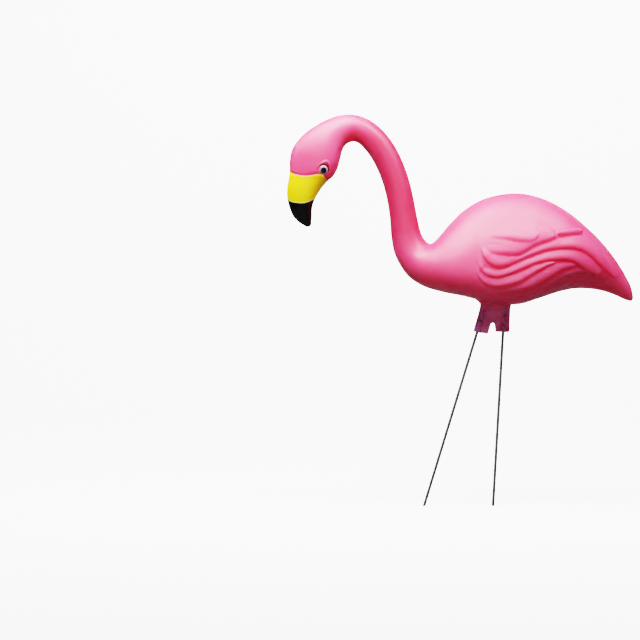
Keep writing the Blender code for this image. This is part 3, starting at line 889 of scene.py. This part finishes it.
    @staticmethod
    def _keep_carving(shell: bpy.types.Object, drawn: np.ndarray, lift: np.ndarray) -> None:
        """Stores each point's lift on the mesh, found by its place."""
        micrometres = 1e6
        places = np.round(STANCE.placed(drawn) * micrometres).astype(int)
        known = {tuple(place): value for place, value in zip(places.tolist(), lift.tolist())}
        here = np.empty(3 * len(shell.data.vertices))
        shell.data.vertices.foreach_get("co", here)
        keys = np.round(here.reshape(-1, 3) * micrometres).astype(int).tolist()
        values = np.array([known.get(tuple(key), 0.0) for key in keys])
        attribute = shell.data.attributes.new("carving", "FLOAT", "POINT")
        attribute.data.foreach_set("value", values)


@dataclass
class LegWeb:
    """The flat web under the belly, with the two sockets that grip the rods.

    Its levels run from below its trimmed feet up into the belly: height as a share of the belly's, how far
    the web runs past the front and the rear rod, in millimetres, and its thickness as a share.
    """

    thickness: float = 0.0075
    belly_level: float = 0.049
    sides: int = 88
    squareness: float = 5.0
    foot_slant: float = 0.6
    notch_width: float = 0.0140
    notch_height: float = 0.0160
    notch_radius: float = 0.0042
    notch_setback: float = 0.0026
    notch_lean: float = 0.0018
    outer_margins: tuple[float, float] = (0.0064, 0.0112)
    corner: float = 0.0038
    rim: float = 0.0008
    pinch_radius: float = 0.0027
    pinch_depth: float = 0.0021
    arch_points: int = 15
    corner_points: int = 7
    level_steps: int = 5
    socket_sides: int = 56
    bore_sides: int = 40
    pinch_sides: int = 28
    levels: tuple[tuple[float, ...], ...] = (
        (-0.16, 7.3, 11.6, 0.95),
        (0.69, 7.8, 10.4, 1.05),
        (0.90, 8.4, 10.9, 1.5),
        (1.06, 12.8, 14.4, 2.8),
        (1.20, 21.4, 20.0, 4.4),
        (1.47, 29.4, 23.2, 5.0),
    )

    def build(self) -> bpy.types.Object:
        """The web with its sockets, bored and pinched."""
        web = self._blade()
        join(web, self._trim(), Joining.CUT)
        for rod in RODS:
            join(web, self._socket(rod), Joining.UNION)
        for rod in RODS:
            join(web, self._bore(rod), Joining.CUT)
            for height in rod.pinch_heights:
                for side in (-1, 1):
                    join(web, self._pinch(rod, height, side), Joining.CUT)
        return web

    def _blade(self) -> bpy.types.Object:
        """The web before it is trimmed."""
        turn = np.linspace(0, 2 * math.pi, self.sides, endpoint=False)
        power = 2 / self.squareness
        round_x = np.sign(np.cos(turn)) * np.abs(np.cos(turn)) ** power
        round_y = np.sign(np.sin(turn)) * np.abs(np.sin(turn)) ** power
        rings = []
        for share, front_margin, rear_margin, thickness in smooth_path(self.levels, self.level_steps):
            height = share * self.belly_level
            front = RODS[0].mouth_x + height * math.tan(RODS[0].rake) - front_margin / MM_PER_M
            rear = RODS[1].mouth_x + height * math.tan(RODS[1].rake) + rear_margin / MM_PER_M
            x = (front + rear) / 2 + (rear - front) / 2 * round_x
            y = self.thickness / 2 * thickness * round_y
            rings.append(np.stack([x, y, np.full_like(x, height)], axis=1))
        return rolled("leg_web", np.array(STANCE.hip) + np.array(rings))

    def _trim(self) -> bpy.types.Object:
        """The cutter that slants the web's two feet and arches up between them."""
        beyond = STANCE.mouth_spacing
        front_end = self.notch_setback - self.notch_width / 2
        rear_end = self.notch_setback + self.notch_width / 2
        arch_x = self.notch_setback + self.notch_lean
        arch_z = self.notch_height - self.notch_radius

        def level(x: float, mouth_x: float, rake: float) -> float:
            """Height of the web's lower edge at x."""
            return -(x - mouth_x) * math.tan(rake) * self.foot_slant

        def foot(side: int, rod: Rod, inner_end: float) -> list[tuple[float, float]]:
            """The lower edge of one foot, from its rounded outer corner to its end at the arch."""
            turn_x = rod.mouth_x + side * (self.outer_margins[side > 0] - self.corner)
            turn_z = level(turn_x, rod.mouth_x, rod.rake) + self.corner
            edge = [(side * beyond, turn_z)]
            edge += [(turn_x + side * self.corner * math.cos(angle), turn_z - self.corner * math.sin(angle))
                     for angle in np.linspace(0, math.pi / 2, self.corner_points)]
            return edge + [(inner_end, level(inner_end, rod.mouth_x, rod.rake))]

        outline = [(beyond, -beyond), (-beyond, -beyond)]
        outline += foot(-1, RODS[0], front_end)
        for angle in np.linspace(math.pi, 0, self.arch_points):
            outline.append((arch_x + self.notch_radius * math.cos(angle),
                            arch_z + self.notch_radius * math.sin(angle)))
        outline += foot(1, RODS[1], rear_end)[::-1]
        half = self.thickness + STANCE.socket_radius
        start_afresh()
        bpy.ops.mesh.primitive_circle_add(vertices=len(outline), radius=1.0, fill_type="NGON")
        cutter = bpy.context.object
        for vertex, (x, z) in zip(cutter.data.vertices, outline):
            vertex.co = STANCE.hip + Vector((x, -half, z))
        bpy.ops.object.mode_set(mode="EDIT")
        bpy.ops.mesh.select_all(action="SELECT")
        bpy.ops.mesh.extrude_region_move(TRANSFORM_OT_translate={"value": (0, 2 * half, 0)})
        turn_outward()
        return settle(cutter, "trim")

    def _socket(self, rod: Rod) -> bpy.types.Object:
        """The round wall of one socket, its mouth's rim rounded."""
        top = STANCE.rod_grip + 2 * STANCE.socket_wall
        start_afresh()
        bpy.ops.mesh.primitive_cylinder_add(
            vertices=self.socket_sides, radius=STANCE.socket_radius, depth=top,
            location=rod.mouth + rod.direction * top / 2, rotation=rod.turn,
        )
        socket = bpy.context.object
        bpy.ops.object.mode_set(mode="EDIT")
        select_faces(socket, lambda face: len(face.verts) > 4 and face.calc_center_median().z < 0)
        bpy.ops.mesh.bevel(offset=self.rim, segments=4, affect="EDGES")
        return settle(socket, f"{rod.name}_socket")

    def _bore(self, rod: Rod) -> bpy.types.Object:
        """The cutter of one blind bore."""
        reach = STANCE.rod_grip + STANCE.rod_clearance + STANCE.socket_radius
        start_afresh()
        bpy.ops.mesh.primitive_cylinder_add(
            vertices=self.bore_sides, radius=STANCE.bore_radius, depth=reach,
            location=rod.mouth + rod.direction * (reach / 2 - STANCE.socket_radius), rotation=rod.turn,
        )
        return settle(bpy.context.object, f"{rod.name}_bore")

    def _pinch(self, rod: Rod, height: float, side: int) -> bpy.types.Object:
        """The round cutter of one pinch mark."""
        radius = (self.pinch_radius**2 + self.pinch_depth**2) / (2 * self.pinch_depth)
        reach = STANCE.socket_radius - self.pinch_depth + radius
        start_afresh()
        bpy.ops.mesh.primitive_uv_sphere_add(
            segments=self.pinch_sides, ring_count=self.pinch_sides // 2, radius=radius,
            location=rod.mouth + rod.direction * height + Vector((0, side * reach, 0)),
        )
        return settle(bpy.context.object, f"{rod.name}_pinch")


@dataclass
class FlamingoBird:
    """The one moulding: shell, leg web and sockets."""

    smooth_angle: float = math.radians(48)

    def build(self) -> bpy.types.Object:
        """The bird, in place of its CAD solid."""
        bird = MouldedShell().build()
        join(bird, LegWeb().build(), Joining.UNION)
        pick(bird)
        bpy.ops.object.shade_smooth_by_angle(angle=self.smooth_angle)
        settle(bird, "moulded_bird")
        bird.data.materials.clear()
        bird.data.materials.append(MouldedBird().make())
        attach(bird, "root")
        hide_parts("bird")
        return bird


@dataclass
class LegRods:
    """The two steel rods."""

    sides: int = 48
    burr: float = 0.00035
    smooth_angle: float = math.radians(40)

    def build(self) -> list[bpy.types.Object]:
        """Both rods, in place of their CAD solids."""
        steel = DarkSteel().make()
        return [self._rod(rod, steel) for rod in RODS]

    def _rod(self, rod: Rod, steel: bpy.types.Material) -> bpy.types.Object:
        """One rod, from its end inside the socket down to its cut at the ground."""
        spare = 4 * STANCE.rod_radius
        length = (rod.mouth - rod.foot).length + STANCE.rod_grip
        start_afresh()
        bpy.ops.mesh.primitive_cylinder_add(
            vertices=self.sides, radius=STANCE.rod_radius, depth=length + spare,
            location=rod.foot + rod.direction * (length - spare) / 2, rotation=rod.turn,
        )
        bar = settle(bpy.context.object, f"{rod.name}_rod")
        bpy.ops.object.mode_set(mode="EDIT")
        bpy.ops.mesh.select_all(action="SELECT")
        bpy.ops.mesh.bisect(plane_co=rod.foot, plane_no=(0, 0, 1), clear_inner=True, use_fill=True)
        select_faces(bar, lambda face: len(face.verts) > 4)
        bpy.ops.mesh.bevel(offset=self.burr, segments=2, affect="EDGES")
        turn_outward()
        bpy.ops.object.mode_set(mode="OBJECT")
        bpy.ops.object.shade_smooth_by_angle(angle=self.smooth_angle)
        bar.data.materials.append(steel)
        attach(bar, "root")
        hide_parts(rod.name)
        return bar


# The studio

@dataclass(frozen=True)
class Softbox:
    """A soft studio light."""

    name: str
    place: tuple[float, float, float]
    aim: tuple[float, float, float]
    width: float
    height: float
    power: float
    spread: float = math.radians(170)

    def light(self) -> None:
        """Sets it up."""
        lamp = bpy.data.lights.new(self.name, "AREA")
        lamp.shape = "RECTANGLE"
        lamp.size = self.width
        lamp.size_y = self.height
        lamp.energy = self.power
        lamp.spread = self.spread
        holder = bpy.data.objects.new(self.name, lamp)
        holder.location = self.place
        holder.rotation_euler = (Vector(self.aim) - Vector(self.place)).to_track_quat("-Z", "Y").to_euler()
        bpy.context.scene.collection.objects.link(holder)


@dataclass
class Studio:
    """Floor, lights and camera.

    The camera looks level from the photograph's side, with one pixel of its 640 to each 1.75 mm of the
    bird's middle plane.
    """

    distance: float = 3.2
    pixel: float = 0.00175
    foot_pixel: tuple[float, float] = (458.5, 506.0)
    paper_size: float = 8.0
    paper_middle: float = -1.4
    backdrop_height: float = 5.0
    sweep: float = 1.2
    sweep_segments: int = 24
    ambient: Colour = (1.0, 1.0, 1.0)
    ambient_strength: float = 0.07
    exposure: float = 0.5
    lights: tuple[Softbox, ...] = (
        Softbox("overhead", (-0.18, -0.30, 1.35), (-0.12, 0.0, 0.45), 2.3, 0.45, 30.0),
        Softbox("upper left", (-0.50, -0.80, 1.45), (0.02, 0.0, 0.45), 0.4, 0.4, 12.0),
        Softbox("front fill", (-0.3, -2.9, 0.5), (0.0, 0.0, 0.4), 1.6, 1.2, 6.0),
        Softbox("backdrop", (0.0, 1.0, 3.0), (0.0, 3.0, 0.5), 3.5, 0.8, 60.0, spread=math.radians(120)),
    )

    def build(self) -> None:
        """Sets up the studio."""
        self._floor()
        for softbox in self.lights:
            softbox.light()
        world = bpy.data.worlds.new("studio air")
        bpy.context.scene.world = world
        world.use_nodes = True
        air = world.node_tree.nodes["Background"]
        air.inputs["Color"].default_value = (*self.ambient, 1.0)
        air.inputs["Strength"].default_value = self.ambient_strength
        view = bpy.context.scene.view_settings
        view.view_transform = "Filmic"
        view.look = "High Contrast"
        view.exposure = self.exposure
        self._camera()

    def _floor(self) -> None:
        """A sheet of paper that runs under the object and up behind it."""
        start_afresh()
        bpy.ops.mesh.primitive_plane_add(size=self.paper_size, location=(0, self.paper_middle, 0))
        paper = settle(bpy.context.object, "studio_floor")
        bpy.ops.object.mode_set(mode="EDIT")
        select_edges(paper, lambda edge: all(vertex.co.y > 1 for vertex in edge.verts))
        bpy.ops.mesh.extrude_region_move(TRANSFORM_OT_translate={"value": (0, 0, self.backdrop_height)})
        select_edges(paper, lambda edge: all(v.co.y > 1 and abs(v.co.z) < 0.01 for v in edge.verts))
        bpy.ops.mesh.bevel(offset=self.sweep, segments=self.sweep_segments, affect="EDGES")
        bpy.ops.object.mode_set(mode="OBJECT")
        bpy.ops.object.shade_smooth()
        paper.data.materials.append(StudioPaper().make())

    def _camera(self) -> None:
        """The camera that sees the photograph's view."""
        camera = bpy.data.cameras.new("camera")
        camera.sensor_width = 36.0
        camera.lens = camera.sensor_width * self.distance / (PICTURE_SIZE * self.pixel)
        holder = bpy.data.objects.new("camera", camera)
        aside = (PICTURE_SIZE / 2 - self.foot_pixel[0]) * self.pixel
        up = (self.foot_pixel[1] - PICTURE_SIZE / 2) * self.pixel
        holder.location = (aside, -self.distance, up)
        holder.rotation_euler = (math.radians(90), 0, 0)
        bpy.context.scene.collection.objects.link(holder)
        bpy.context.scene.camera = holder


def report(pieces: Iterable[bpy.types.Object]) -> None:
    """Logs each piece and how many faces it has."""
    for piece in pieces:
        LOG.info("%s: %d faces", piece.name, len(piece.data.polygons))


def main() -> None:
    """Builds the bird, its rods and the studio, and logs how many faces each piece has."""
    logging.basicConfig(level=logging.INFO, format="%(name)s: %(message)s")
    report([FlamingoBird().build()])
    report(LegRods().build())
    Studio().build()


if __name__ == "__main__":
    main()
